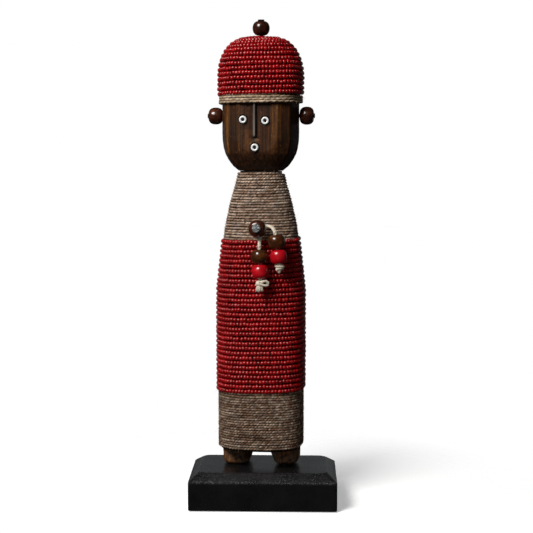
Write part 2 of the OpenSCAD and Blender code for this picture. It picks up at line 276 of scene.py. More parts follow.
def plies(build, line, out, up, ply_r, off_r, lead, count=2, sides=6, seed=1, wound=False):
    """Twisted plies round a centreline. out and up are its cross directions. The value
    deep is 1 in the grooves: between the plies, or on a winding between its turns.
    The looks darken the grooves with it as painted shade."""
    run = run_of(line)
    for k in range(count):
        phi = 2 * math.pi * (run / lead + k / count)
        phi = phi + 0.45 * noise_along(seed + 7 * k, run, 4.0)
        off = off_r * (1 + 0.12 * noise_along(seed + k + 50, run, 2.3))
        centre = line + off[:, None] * spokes(phi, out, up)
        r = ply_r * (1 + 0.16 * noise_along(seed + k + 90, run, 1.3))
        a = phi[:, None] + circle(sides)
        rows = centre[:, None] + spokes(a, out[:, None], up[:, None]) * r[:, None, None]
        arm = rows - line[:, None]
        deep = 1 - ease(np.linalg.norm(arm, axis=-1) / (ply_r + off_r), 0.12, 0.68)
        if wound:
            across = np.abs((arm * up[:, None]).sum(-1)) / (ply_r + off_r)
            deep = np.maximum(ease(across, 0.40, 0.90), 0.5 * deep)
        shade = 0.5 + 0.20 * noise_along(seed + 130, run, 11.0) + 0.34 * noise_along(
            seed + k + 170, run, 1.7)
        around = np.broadcast_to(np.arange(sides)[None] / sides, a.shape)
        build.grid(rows, along=np.broadcast_to(run[:, None], a.shape), around=around + k,
                   deep=deep, shade=np.broadcast_to(shade[:, None], a.shape))


# ---------------------------------------------------------------- the figure's form
OUTLINE = np.array([
    (39, 28.3), (150, 28.3), (170, 26.3), (188, 24.4), (195.5, 23.5), (204, 21.7),
    (210.5, 20.4), (216.5, 18.8), (225, 16.4), (233.9, 14.4), (234.3, 15.5),
    (237.5, 19.4), (241.7, 22.5), (245.8, 24.7), (250, 25.9), (255, 26.6),
    (260, 26.8), (300, 26.8),
])


def half_w(z):
    return np.interp(z, OUTLINE[:, 0], OUTLINE[:, 1])


def depth_ratio(z):
    return np.interp(z, [203.4, 245.4], [0.8, 0.86])


def section_power(z):
    """The squareness of the outline: the shoulders are rounder than the rest."""
    return np.interp(z, [188, 212, 226, 233.4, 240], [SECTION_POWER, 2.5, 2.3, 2.3, SECTION_POWER])


def section(theta, a, b, power=SECTION_POWER):
    c, s = np.abs(np.cos(theta)), np.abs(np.sin(theta))
    return ((c / a) ** power + (s / b) ** power) ** (-1 / power)


def surface(theta, z, grow=0.0):
    """Points on the wood, let out by grow, at angles theta and heights z."""
    a = half_w(z) + grow
    b = half_w(z) * depth_ratio(z) + grow
    return round_axis(theta, section(theta, a, b, section_power(z)), z)


# Where every winding starts: just behind the viewer's left
START = math.radians(165)


def wound_line(z_start, z_end, turns, grow, step, wobble, seed):
    """A helix on the wood: its points, outward directions and upward directions.
    It rises towards the viewer's right."""
    steps_per_turn = 240
    k = np.arange(int(turns * steps_per_turn) + 1) / steps_per_turn
    theta = START + 2 * math.pi * k
    z = z_start + (z_end - z_start) * k / turns
    lean = 0.6 * noise_along(seed, theta, 0.55)
    lean = lean + 0.4 * noise_along(seed + 1, z + 40 * np.sin(theta), 9)
    z = z + wobble * lean * np.clip(np.minimum(k, turns - k), 0, 1)
    line = surface(theta, z, grow)
    line = resample(line, int(run_of(line)[-1] / step) + 1)
    t = unit(np.gradient(line, axis=0))
    up = unit(np.array([0, 0, 1.0]) - t * t[:, 2:3])
    return line, np.cross(t, up), up


# ---------------------------------------------------------------- materials


class Look:
    """A node material with a Principled shader."""

    def __init__(self, name, rough=0.5, **constants):
        self.material = bpy.data.materials.new(name)
        self.material.use_nodes = True
        self.tree = self.material.node_tree
        self.tree.nodes.clear()
        self.shader = self.node("ShaderNodeBsdfPrincipled")
        self.node("ShaderNodeOutputMaterial", {"Surface": self.shader.outputs[0]})
        self.set(Roughness=rough, **constants)

    def node(self, kind, inputs=None, **props):
        n = self.tree.nodes.new(kind)
        for key, value in props.items():
            setattr(n, key, value)
        for key, value in (inputs or {}).items():
            self.plug(n.inputs[key], value)
        return n

    def plug(self, socket, value):
        if isinstance(value, bpy.types.NodeSocket):
            self.tree.links.new(value, socket)
        elif isinstance(value, tuple) and len(value) == 3 and socket.type == "RGBA":
            socket.default_value = (*value, 1)
        else:
            socket.default_value = value

    def set(self, **values):
        names = {"Base": "Base Color", "Specular": "Specular IOR Level", "Coat": "Coat Weight",
                 "CoatRough": "Coat Roughness", "Sheen": "Sheen Weight",
                 "Glow": "Emission Color", "GlowStrength": "Emission Strength"}
        for key, value in values.items():
            self.plug(self.shader.inputs[names.get(key, key)], value)

    def coords(self, scale):
        tc = self.node("ShaderNodeTexCoord")
        m = self.node("ShaderNodeMapping", {"Vector": tc.outputs["Object"], "Scale": scale})
        return m.outputs[0]

    def attribute(self, name):
        return self.node("ShaderNodeAttribute", attribute_name=name).outputs["Fac"]

    def noise(self, vector, scale, detail, rough):
        n = self.node("ShaderNodeTexNoise",
                      {"Vector": vector, "Scale": scale, "Detail": detail, "Roughness": rough})
        return n.outputs[0]

    def spots(self, scale, detail=3.0, rough=0.55):
        """Noise with this many cells per metre, the same each way or in x, y and z."""
        scale = scale if isinstance(scale, tuple) else (scale,) * 3
        return self.noise(self.coords(scale), 1.0, detail, rough)

    def fibres(self, along, around, scale, detail, rough):
        """Noise that runs with a twisted ply."""
        flow = self.node("ShaderNodeCombineXYZ", {
            0: self.times(self.attribute("along"), along),
            1: self.times(self.attribute("around"), around), 2: 0.0})
        return self.noise(flow.outputs[0], scale, detail, rough)

    def math(self, operation, a, b, clamp=False):
        n = self.node("ShaderNodeMath", {0: a, 1: b}, operation=operation, use_clamp=clamp)
        return n.outputs[0]

    def times(self, a, b):
        return self.math("MULTIPLY", a, b)

    def plus(self, a, b):
        return self.math("ADD", a, b)

    def ramp(self, value, stops):
        n = self.node("ShaderNodeValToRGB", {"Fac": value})
        e = n.color_ramp.elements
        while len(e) < len(stops):
            e.new(0.5)
        for el, (place, colour) in zip(e, stops):
            el.position = place
            el.color = (*colour, 1) if isinstance(colour, tuple) else (colour,) * 3 + (1,)
        return n.outputs[0]

    def mix(self, factor, a, b):
        n = self.node("ShaderNodeMixRGB", {"Fac": factor, "Color1": a, "Color2": b})
        return n.outputs[0]

    def bump(self, height, distance, strength):
        inputs = {"Height": height, "Distance": distance, "Strength": strength}
        return self.node("ShaderNodeBump", inputs).outputs[0]


def wood_look():
    """Stained wood. The values rub, paint and lit wear it, blacken it and lighten it:
    paint is stain and painted shade, lit is dust, painted highlight and painted light.
    """
    look = Look("carved_wood", Specular=0.15)
    streak = look.spots((460, 460, 24), 6.0, 0.62)
    pores = look.spots((1300, 1300, 90), 4.0, 0.7)
    base = look.ramp(streak, [(0.32, (0.013, 0.0048, 0.0024)), (0.52, (0.038, 0.0138, 0.0056)),
                              (0.70, (0.085, 0.031, 0.010))])
    dark = look.mix(look.ramp(look.spots((70, 70, 45)), [(0.35, 0.0), (0.7, 0.75)]), base,
                    (0.014, 0.0085, 0.0055))
    worn_away = look.ramp(look.spots((560, 560, 34), 7.0, 0.7), [(0.36, 0.0), (0.60, 1.0)])
    rub = look.math("MULTIPLY", look.attribute("rub"), worn_away, clamp=True)
    gold = look.ramp(pores, [(0.35, (0.07, 0.024, 0.006)), (0.65, (0.30, 0.115, 0.022))])
    worn = look.mix(rub, dark, gold)
    specks = look.ramp(look.spots((520, 520, 420), 3.0, 0.6), [(0.64, 0.0), (0.70, 1.0)])
    worn = look.mix(look.times(specks, 0.5), worn, (0.22, 0.09, 0.02))
    # black stain and painted shade, by paint
    stained_shaded_lit = look.mix(look.attribute("paint"), worn, (0.0045, 0.0035, 0.003))
    # lit greys it: dust, a painted highlight on the nose ridge, painted light on the right foot
    stained_shaded_lit = look.mix(look.attribute("lit"), stained_shaded_lit, (0.15, 0.14, 0.128))
    look.set(Base=stained_shaded_lit, Roughness=look.ramp(streak, [(0.3, 0.36), (0.7, 0.56)]))
    dimples = look.spots((620, 620, 480), 2.0, 0.5)
    relief = look.plus(look.times(streak, 0.35), look.times(pores, 0.35))
    relief = look.plus(relief, look.times(dimples, 0.5))
    look.set(Normal=look.bump(relief, 0.00028, 0.8))
    return look.material


def twine_look(name, low, mid, high, rust, grey):
    """Two-ply twine: its fibres' tones, with rusty and grey lengths and painted shade in the
    grooves.
    """
    look = Look(name, rough=0.9, Specular=0.10)
    fibres = look.fibres(0.9, 9.0, 1.6, 5.0, 0.7)
    strand = look.plus(look.times(fibres, 0.5), look.times(look.attribute("shade"), 0.5))
    base = look.ramp(strand, [(0.30, low), (0.50, mid), (0.68, high)])
    rusty = look.spots((310, 310, 430), 4.0, 0.6)
    base = look.mix(look.ramp(rusty, [(0.50, 0.0), (0.66, 0.7)]), base, rust)
    dusty = look.spots((190, 190, 260), 3.0, 0.6)
    base = look.mix(look.ramp(dusty, [(0.54, 0.0), (0.70, 0.6)]), base, grey)
    # painted shade: the grooves darken where deep is high
    base = look.mix(look.times(look.attribute("deep"), 0.94), base, (0.010, 0.0055, 0.0035))
    look.set(Base=base, Normal=look.bump(fibres, 0.00025, 0.9))
    return look.material


def bead_look():
    look = Look("seed_beads", Specular=0.5)
    base = look.ramp(look.attribute("tone"), [
        (0.0, (0.15, 0.0022, 0.0026)), (0.5, (0.27, 0.0034, 0.0044)), (1.0, (0.38, 0.0060, 0.0080))])
    base = look.mix(look.ramp(look.spots(450), [(0.45, 0.0), (0.75, 0.5)]), base,
                    (0.12, 0.0015, 0.002))
    look.set(Base=base, Roughness=look.ramp(look.spots(1100, 2.0), [(0.3, 0.15), (0.7, 0.27)]),
             Normal=look.bump(look.spots(1500, 2.0), 0.00004, 0.6))
    return look.material


def thread_look():
    look = Look("bead_thread", rough=0.8, Specular=0.15)
    n = look.spots(1600)
    look.set(Base=look.ramp(n, [(0.3, (0.010, 0.006, 0.006)), (0.7, (0.045, 0.022, 0.02))]),
             Normal=look.bump(n, 0.00008, 0.6))
    return look.material


def turned_look(name, low, mid, high, stretch=(1, 1, 1)):
    """Stained and lacquered turned wood."""
    look = Look(name, Specular=0.35, Coat=0.3, CoatRough=0.14)
    grain = look.spots(tuple(s * 330 for s in stretch), 5.0, 0.6)
    pores = look.spots(tuple(s * 1500 for s in stretch), 3.0, 0.6)
    base = look.ramp(grain, [(0.32, low), (0.52, mid), (0.72, high)])
    base = look.mix(look.ramp(pores, [(0.55, 0.0), (0.75, 0.5)]), base, low)
    look.set(Base=base, Roughness=look.ramp(pores, [(0.3, 0.16), (0.7, 0.30)]),
             Normal=look.bump(grain, 0.0001, 0.35))
    return look.material


def painted_look():
    look = Look("painted_red", Specular=0.4, Coat=0.3, CoatRough=0.14)
    n = look.spots((160, 160, 420), 4.0)
    base = look.ramp(n, [(0.3, (0.27, 0.0016, 0.0045)), (0.6, (0.42, 0.0026, 0.0085)),
                         (0.8, (0.50, 0.0050, 0.0140))])
    look.set(Base=base, Roughness=look.ramp(n, [(0.3, 0.22), (0.7, 0.36)]),
             Normal=look.bump(n, 0.00008, 0.4))
    return look.material


def ceramic_look():
    look = Look("ring_beads", Specular=0.5, Coat=0.5, CoatRough=0.08)
    n = look.spots(500)
    look.set(Base=look.ramp(n, [(0.3, (0.58, 0.61, 0.63)), (0.6, (0.76, 0.78, 0.78))]),
             Roughness=look.ramp(n, [(0.3, 0.14), (0.7, 0.3)]))
    return look.material


def stain_look():
    """Black stain. The value edge chips it along the block's edges."""
    look = Look("black_stain", Specular=0.5)
    grain = look.spots((45, 500, 500), 5.0, 0.6)
    grit = look.spots(2300, 2.0, 0.6)
    cloud = look.spots(60, 4.0)
    base = look.ramp(cloud, [(0.3, (0.0038, 0.0038, 0.0040)), (0.7, (0.0066, 0.0065, 0.0068))])
    chips = look.ramp(look.spots(1500, 3.0, 0.7), [(0.57, 0.0), (0.63, 1.0)])
    wear = look.math("MULTIPLY", look.attribute("edge"), chips, clamp=True)
    dust = look.ramp(grit, [(0.66, 0.0), (0.72, 1.0)])
    base = look.mix(look.times(dust, 0.35), base, (0.05, 0.052, 0.055))
    base = look.mix(look.times(wear, 0.9), base, (0.26, 0.26, 0.265))
    relief = look.plus(look.times(grain, 0.5), look.times(grit, 0.5))
    look.set(Base=base, Roughness=look.ramp(cloud, [(0.3, 0.24), (0.7, 0.32)]),
             Normal=look.bump(relief, 0.00009, 0.45))
    return look.material


def cord_look():
    look = Look("cord", rough=0.82, Specular=0.2, Sheen=0.2)
    fibres = look.fibres(1.3, 8.0, 1.5, 4.0, 0.65)
    base = look.ramp(fibres, [(0.34, (0.42, 0.34, 0.25)), (0.50, (0.70, 0.62, 0.50)),
                              (0.68, (0.86, 0.80, 0.70))])
    dirt = look.ramp(look.spots(260, 4.0, 0.6), [(0.50, 0.0), (0.70, 0.55)])
    base = look.mix(dirt, base, (0.36, 0.25, 0.18))
    # painted shade in the grooves between the plies
    base = look.mix(look.times(look.attribute("deep"), 0.8), base, (0.10, 0.07, 0.05))
    look.set(Base=base, Normal=look.bump(fibres, 0.0002, 0.7))
    return look.material


def metal_look(name, low, high, rough):
    look = Look(name, Metallic=1.0)
    n = look.spots(1500, 4.0, 0.7)
    look.set(Base=look.ramp(n, [(0.44, low), (0.56, high)]),
             Roughness=look.ramp(n, [(0.3, rough), (0.7, rough + 0.2)]),
             Normal=look.bump(n, 0.0005, 0.9))
    return look.material


WOOD = wood_look()
TWINE = twine_look("twine", (0.14, 0.086, 0.058), (0.46, 0.32, 0.235), (0.86, 0.68, 0.54),
                   (0.44, 0.24, 0.13), (0.50, 0.44, 0.40))
# The skirt's twine is the shoulders' twine with darker colours: painted shade, lower on the figure
# where the light falls off.
SHADED_SKIRT_TWINE = twine_look("skirt_twine", (0.075, 0.044, 0.028), (0.25, 0.163, 0.113), (0.60, 0.46, 0.35),
                   (0.30, 0.145, 0.075), (0.29, 0.25, 0.22))
BAND = twine_look("band_twine", (0.23, 0.155, 0.10), (0.40, 0.285, 0.19), (0.60, 0.46, 0.33),
                  (0.40, 0.25, 0.14), (0.42, 0.36, 0.30))
BEADS = bead_look()
THREAD = thread_look()
DARK_BEAD = turned_look("dark_beads", (0.015, 0.0040, 0.0026), (0.043, 0.0112, 0.0050),
                        (0.098, 0.027, 0.0095))
CROWN_BEAD = turned_look("crown_wood", (0.008, 0.0020, 0.0013), (0.023, 0.0058, 0.0025),
                         (0.052, 0.014, 0.005))
AMBER_BEAD = turned_look("amber_beads", (0.022, 0.0056, 0.0018), (0.048, 0.0130, 0.0030),
                         (0.13, 0.040, 0.007), stretch=(0.6, 0.6, 0.9))
RED_BEAD = painted_look()
CERAMIC = ceramic_look()
STAIN = stain_look()
CORD = cord_look()
STEEL = metal_look("nail_steel", (0.03, 0.031, 0.032), (0.36, 0.375, 0.385), 0.36)
DARK_NAIL = metal_look("nail_dark", (0.010, 0.006, 0.005), (0.045, 0.028, 0.022), 0.5)

# ---------------------------------------------------------------- cords


def cord_mesh(name, route, side):
    """A twisted cord along the route."""
    line = smooth_line(route, 110)
    t, u, v = frames(line)
    build = Build()
    plies(build, line, u, v, 0.66, 0.60, 5.2, count=3, sides=8, seed=11 if side == "left" else 31)
    o = build.object(name, CORD, None)
    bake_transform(o)
    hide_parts(side + "_cord_top", side + "_cord")
    return o, line


cords = {
    "left": cord_mesh("left_cord_twist", LEFT_ROUTE, "left"),
    "right": cord_mesh("right_cord_twist", RIGHT_ROUTE, "right"),
}


def strand_tuft(build, start, down, length, start_r, end_r, count, r, seed):
    """Frayed fibres at a cut end, from a bundle of one radius to another."""
    rng = np.random.default_rng(seed)
    down = unit(down)
    for k in range(count):
        a = rng.uniform(0, 2 * math.pi)
        lean = math.sqrt(rng.uniform(0.02, 1.0))
        side_dir = np.array([math.cos(a), math.sin(a) * 0.8, 0.0])
        base = start + side_dir * lean * start_r
        reach = length * rng.uniform(0.75, 1.1)
        tip = start + down * reach + side_dir * lean * end_r
        bend = side_dir * rng.uniform(-0.3, 0.5)
        s = np.linspace(0, 1, 7)[:, None]
        line = base * (1 - s) + tip * s + bend * np.sin(math.pi * s)
        # each frayed fibre gets a random amount of painted groove shade
        tube(build, line, r * (1 - 0.5 * s[:, 0]), sides=5,
             along=np.broadcast_to(s * reach, (7, 5)), around=k * 0.37,
             deep=0.35 * rng.random())


def knot_piece(side, loops, tuft, seed):
    """A tied knot: cord loops, each (points, cord radius), and a frayed tail."""
    build = Build()
    for k, (points, r) in enumerate(loops):
        line = smooth_line(points, 64)
        t, u, v = frames(line)
        plies(build, line, u, v, r * 0.56, r * 0.46, r * 4.2, count=3, sides=7, seed=seed + 5 * k)
    strand_tuft(build, *tuft, seed)
    return build.object(side + "_knot_twist", CORD, side + "_string",
                        replaced=(side + "_knot",))


def ring_points(centre, rx, ry, start, sweep, rise, tilt, n=14):
    """A turn of cord round an upright axis, from start through sweep degrees."""
    a = np.radians(start + np.linspace(0, sweep, n))
    pts = np.stack([rx * np.cos(a), ry * np.sin(a), rise * np.linspace(0, 1, n)], 1)
    c, s = math.cos(math.radians(tilt)), math.sin(math.radians(tilt))
    pts = np.stack([pts[:, 0] * c - pts[:, 2] * s, pts[:, 1], pts[:, 0] * s + pts[:, 2] * c], 1)
    return pts + np.array(centre, float)


left_end = np.array(LEFT_ROUTE[-1], float)
right_end = np.array(RIGHT_ROUTE[-1], float)
side_loop = left_end + np.array([
    (0.4, -1.6, -1.7), (2.0, -2.2, -1.2), (3.6, -1.8, -0.9), (5.0, -1.2, -1.7),
    (5.2, -0.8, -3.0), (4.1, -1.1, -3.95), (2.6, -1.6, -3.75), (1.2, -1.7, -3.1),
])
knots = {
    "left": knot_piece("left", [
        (ring_points(left_end + (0, 0, -1.25), 2.0, 1.8, 200, 420, -0.6, 8), 1.05),
        (ring_points(left_end + (-0.3, 0, -2.6), 1.9, 1.8, 150, 400, -1.0, -10), 1.05),
        (side_loop, 1.0),
        (left_end + np.array([(0, 0.2, 0.3), (0, 0.2, -2.2), (-0.2, 0, -4.6)]), 1.2),
    ], (left_end + (-0.2, -0.2, -3.6), (-0.06, 0, -1), 4.4, 1.4, 3.0, 90, 0.27), 71),
    "right": knot_piece("right", [
        (ring_points(right_end + (0.1, 0, -1.0), 2.35, 2.1, 160, 400, -0.5, -4), 1.05),
        (ring_points(right_end + (0, 0, -2.6), 1.9, 1.7, 200, 380, -0.8, 10), 0.95),
        (right_end + np.array([(0, 0.1, 0.3), (0, 0, -1.6), (-0.1, 0, -3.6)]), 1.2),
    ], (right_end + (-0.1, -0.3, -2.4), (-0.08, 0, -1), 3.4, 2.1, 0.8, 80, 0.27), 83),
}

# ---------------------------------------------------------------- wooden beads


def barrel(build, centre, axis, d, seed, power=2.3, squareness=0.0, turn=0.0):
    """A hand-turned bead with a bore, slightly uneven, on an axis through its centre."""
    # the bore's diameter, the radius of the flat at each end and the bead's length
    bore, flat, l = 2.7, 2.2, 9.7
    sides, rows = 56, 26
    rng = np.random.default_rng(seed)
    axis = unit(np.array(axis, float))
    side = unit(np.cross(axis, [0, 1, 0.01]))
    other = np.cross(axis, side)
    t = np.linspace(-math.pi / 2, math.pi / 2, rows)
    c, s = np.cos(t) ** (2 / power), np.sign(t) * np.abs(np.sin(t)) ** (2 / power)
    radius = np.concatenate([[bore / 2], [bore / 2 + 0.12], flat + (d / 2 - flat) * c,
                             [bore / 2 + 0.12], [bore / 2]])
    height = np.concatenate([[-l / 2 + 0.35], [-l / 2 + 0.04], s * l / 2,
                             [l / 2 - 0.04], [l / 2 - 0.35]])
    a = circle(sides)
    k2, k3 = rng.uniform(0, 6.28, 2)
    uneven = 1 + 0.006 * np.cos(2 * a + k2) + 0.004 * np.cos(3 * a + k3)
    uneven = uneven + squareness * (np.cos(4 * (a - turn)) - 0.5)
    out = radius[:, None] * np.where(radius[:, None] > bore, uneven[None], 1.0)
    points = centre + axis * height[:, None, None] + spokes(a, side, other) * out[..., None]
    build.add(points.reshape(-1, 3), [ring_faces(len(height), sides, closed=True)])


def node_centre(node):
    """A node's middle in the figure's frame, in millimetres."""
    p = middle(node) - Vector((AXIS.x, AXIS.y, 0))
    c, s = math.cos(-FIGURE_YAW), math.sin(-FIGURE_YAW)
    return np.array([(p.x * c - p.y * s) / MM, (p.x * s + p.y * c) / MM, p.z / MM])


def bead_piece(name, node, body, material, slot, axis, d=11.6, **more):
    build = Build()
    barrel(build, node_centre(node), axis, d, **more)
    return build.object(name, material, body, replaced=(node,))


CHEST_AXIS = (0, -math.cos(math.radians(4)), math.sin(math.radians(4)))
for name, body, material, axis, more in [
    ("left_ear", "left_ear", DARK_BEAD, (1, 0, 0), {"d": 11.8, "seed": 2}),
    ("right_ear", "right_ear", DARK_BEAD, (1, 0, 0), {"d": 12.4, "seed": 3}),
    ("crown", "crown", CROWN_BEAD, (0, 0, 1), {"d": 11.8, "seed": 4, "power": 2.1}),
    ("chest", "chest", DARK_BEAD, CHEST_AXIS,
     {"d": 12.3, "seed": 5, "squareness": 0.02, "turn": 0.9}),
]:
    bead_piece(name + "_turned", name + "_bead", body, material, "dark_beads", axis, **more)

for side, route, seed in [("left", LEFT_ROUTE, 6), ("right", RIGHT_ROUTE, 8)]:
    cord, line = cords[side]
    hang = unit(np.array(route[6], float) - np.array(route[-1], float))
    brown = bead_piece(side + "_brown_turned", side + "_brown_bead", side + "_brown", AMBER_BEAD,
                       "amber_beads", hang, d=12.0, seed=seed)
    red = bead_piece(side + "_red_turned", side + "_red_bead", side + "_red", RED_BEAD,
                     "red_beads", hang, seed=seed + 1)

# ---------------------------------------------------------------- twine windings
TWINE_T = 1.9
BAND_T = 2.2


def hairs(build, line, out, up, count, seed):
    """Loose fibres standing off a winding."""
    rng = np.random.default_rng(seed)
    t = unit(np.gradient(line, axis=0))
    for k in rng.integers(4, len(line) - 5, count):
        start = line[k] + out[k] * rng.uniform(0.5, 0.9)
        reach = rng.uniform(1.2, 5.0)
        aim = unit(out[k] * rng.uniform(0.05, 0.4) + t[k] * rng.uniform(-1, 1)
                   + up[k] * rng.uniform(-1, 1))
        curl = unit(np.cross(aim, out[k]) + 0.01) * rng.uniform(-0.6, 0.6)
        s = np.linspace(0, 1, 7)[:, None]
        path = start + aim * reach * s + curl * reach * s * s - out[k] * 0.12 * reach * s * s
        tube(build, path, 0.055 * (1 - 0.6 * s[:, 0]), sides=3,
             along=np.broadcast_to(s * reach, (7, 3)), around=0.4, shade=0.75)


def pills(build, line, out, up, places, seed):
    """Little matted tufts: (angle round the figure in degrees, height) of each."""
    rng = np.random.default_rng(seed)
    angles = np.degrees(np.arctan2(line[:, 1], line[:, 0])) % 360
    for angle, height in places:
        k = int(np.argmin(np.abs(angles - angle) * 0.5 + np.abs(line[:, 2] - height)))
        for _ in range(9):
            start = line[k] + out[k] * 0.75 + up[k] * rng.uniform(-0.6, 0.6)
            swing = rng.uniform(0, 2 * math.pi)
            s = np.linspace(0, 1, 9)[:, None]
            spin = swing + 5.0 * s
            radius = rng.uniform(0.3, 0.8)
            side = np.cross(out[k], up[k])
            path = start + radius * (np.cos(spin) * up[k] + np.sin(spin) * side)
            # the tufts get some painted groove shade
            tube(build, path + out[k] * (0.35 * s), 0.08, sides=4,
                 along=np.broadcast_to(s * 4, (9, 4)), around=0.2, shade=0.45, deep=0.3)


def wound_twine(name, node, body, material, z_low, z_high, rows, t, lead, seed, fuzz, tufts=(),
                ply=0.3):
    """A winding of twine of thickness t on a body. ply is a ply's radius over t."""
    step = 0.5
    line, out, up = wound_line(z_low + t * 0.48, z_high - t * 0.48, rows - 0.02, t / 2, step,
                               wobble=0.26, seed=seed)
    run = np.arange(len(line)) * step
    line = line + out * (0.08 * noise_along(seed + 5, run, 5.0))[:, None]
    build = Build()
    plies(build, line, out, up, t * ply, t * (0.505 - ply), lead, seed=seed, wound=True)
    hairs(build, line, out, up, fuzz, seed + 9)
    pills(build, line, out, up, tufts, seed + 13)
    return build.object(name, material, body, replaced=(node,))


# Each winding runs on for a row or two under the beads that cover its end.
skirt_low, skirt_high = heights("skirt_twine")
shoulder_low, shoulder_high = heights("shoulder_twine")
band_low, band_high = heights("headband_twine")
wound_twine("skirt_winding", "skirt_twine", "doll", SHADED_SKIRT_TWINE, skirt_low, skirt_high + 3.6, 24,
            TWINE_T, 4.4, 101, 300, [(285, 66), (255, 52), (300, 50), (240, 60)])
wound_twine("shoulder_winding", "shoulder_twine", "doll", TWINE, shoulder_low - 3.8,
            shoulder_high + 0.9, 25.5, TWINE_T, 4.4, 201, 280, [(250, 200), (290, 222)])
wound_twine("headband_winding", "headband_twine", "doll", BAND, band_low, band_high + 1.6, 3.4,
            BAND_T, 8.0, 301, 70, ply=0.4)

# ---------------------------------------------------------------- strung seed beads
BEAD_STEP = 2.34
BEAD_SIDES = 10
THREAD_R = 0.42
# Distance between the points of a strand's line
STRAND_STEP = 0.6
# A bead's cross-section on one side of its thread: (along, out), in millimetres
PROFILE = np.array([(-0.78, 0.55), (-1.12, 0.98), (-0.88, 1.32), (-0.32, 1.53),
                    (0.32, 1.53), (0.88, 1.32), (1.12, 0.98), (0.78, 0.55)])


def seed_bead(centre, t, out, up, size):
    points = (centre + t * (PROFILE[:, 0] * size[0])[:, None, None]
              + spokes(circle(BEAD_SIDES), out, up) * (PROFILE[:, 1] * size[1])[:, None, None])
    return points.reshape(-1, 3)


def string_beads(names, node, body, line, out, up, seed):
    """Beads threaded along a line, in as many pieces as there are names."""
    rng = np.random.default_rng(seed)
    run = run_of(line)
    places, s = [], BEAD_STEP / 2
    while s < run[-1] - 1.0:
        places.append(s)
        s += BEAD_STEP * rng.normal(1.0, 0.045) + (0.55 if rng.random() < 0.022 else 0)
    places = np.array(places)
    centre, o, u = [np.stack([np.interp(places, run, a[:, k]) for k in range(3)], 1)
                    for a in (line, out, up)]
    o, u = unit(o), unit(u)
    t = np.cross(u, o)
    count = len(places)
    jitter = rng.normal(0, 1, (count, 5))
    centre = centre + o * (0.09 * jitter[:, :1]) + u * (0.10 * jitter[:, 1:2])
    t = unit(t + u * (0.07 * jitter[:, 2:3]) + o * (0.06 * jitter[:, 3:4]))
    u = unit(u - t * (u * t).sum(1, keepdims=True))
    o = np.cross(t, u)
    sizes = np.stack([rng.normal(1.0, 0.035, count), rng.normal(1.0, 0.03, count)], 1)
    tones = np.clip(rng.normal(0.5, 0.2, count), 0, 1)
    faces = ring_faces(len(PROFILE), BEAD_SIDES, closed=True)
    for part, chunk in enumerate(np.array_split(np.arange(count), len(names))):
        pts = [seed_bead(centre[k], t[k], o[k], u[k], sizes[k]) for k in chunk]
        each = len(pts[0])
        build = Build()
        all_faces = (faces[None] + (np.arange(len(chunk)) * each)[:, None, None]).reshape(-1, 4)
        build.add(np.vstack(pts), [all_faces], tone=np.repeat(tones[chunk], each))
        build.object(names[part], BEADS, body, replaced=(node,) if part == 0 else ())


strand_low, strand_high = heights("body_bead_strand")
body_turns = 31.6
line, out, up = wound_line(strand_low + 0.7, strand_high - 1.25, body_turns, 1.68, STRAND_STEP,
                           wobble=0.22, seed=401)
string_beads(["body_beads_low", "body_beads_middle", "body_beads_high"], "body_bead_strand",
             "doll", line, out, up, 402)
thread = Build()
tube(thread, resample(line, int(len(line) * 0.45)), THREAD_R, sides=5)

# The hat: up the sides, then round the dome, one strand's width a turn
hat_low, hat_high = heights("hat_bead_strand")
HAT_HALF, HAT_RATIO, DOME_Z = 28.45, 0.868, 300.0
# The dome is full near its top and slopes in early: powers of its width and its height
DOME_ACROSS, DOME_UP = 3.7, 1.82
rise = np.linspace(0, 1, 40)
t_dome = np.radians(np.linspace(0, 87, 200))
profile = np.vstack([
    np.stack([np.full(40, HAT_HALF), hat_low + 0.5 + (DOME_Z - hat_low - 0.5) * rise], 1)[:-1],
    np.stack([HAT_HALF * np.cos(t_dome) ** (2 / DOME_ACROSS),
              DOME_Z + (hat_high - 1.65 - DOME_Z) * np.sin(t_dome) ** (2 / DOME_UP)], 1),
])
climb = run_of(profile)
HAT_PITCH = 3.32
turns = (climb[-1] - 1.0) / HAT_PITCH
k = np.arange(int(turns * 200)) / 200
s_up = np.clip(k * HAT_PITCH + 0.25 * noise_along(411, k * 2 * math.pi, 0.7) * np.clip(k, 0, 1),
               0, climb[-1])
a_hat, z_hat = np.interp(s_up, climb, profile[:, 0]), np.interp(s_up, climb, profile[:, 1])
theta = START + 2 * math.pi * k
r_hat = section(theta, a_hat, a_hat * HAT_RATIO, 2 + 0.8 * np.clip(a_hat / HAT_HALF, 0, 1))
hat_line = round_axis(theta, r_hat, z_hat)
hat_line = resample(hat_line, int(run_of(hat_line)[-1] / STRAND_STEP))
# outward direction leans up as the dome closes in
h_t = unit(np.gradient(hat_line, axis=0))
order = np.arange(len(profile))
place = np.interp(hat_line[:, 2], profile[:, 1], order)
da, dz = [np.interp(place, order, np.gradient(profile[:, k], climb)) for k in (0, 1)]
radial = unit(hat_line * np.array([1, 1, 0]))
meridian = unit(radial * da[:, None] + np.array([0, 0, 1.0]) * dz[:, None])
h_up = unit(meridian - h_t * (meridian * h_t).sum(1, keepdims=True))
h_out = np.cross(h_t, h_up)
string_beads(["hat_beads_side", "hat_beads_dome"], "hat_bead_strand", "doll",
             hat_line, h_out, h_up, 421)
tube(thread, resample(hat_line, int(len(hat_line) * 0.45)), THREAD_R, sides=5)
thread.object("bead_threads", THREAD, "doll")

# ---------------------------------------------------------------- carved wood
NOSE_X = -1.6
EYES = [(-9.7, 269.2), (5.55, 268.4)]
MOUTH = (NOSE_X, 250.3)
FACE_Y = -21.6
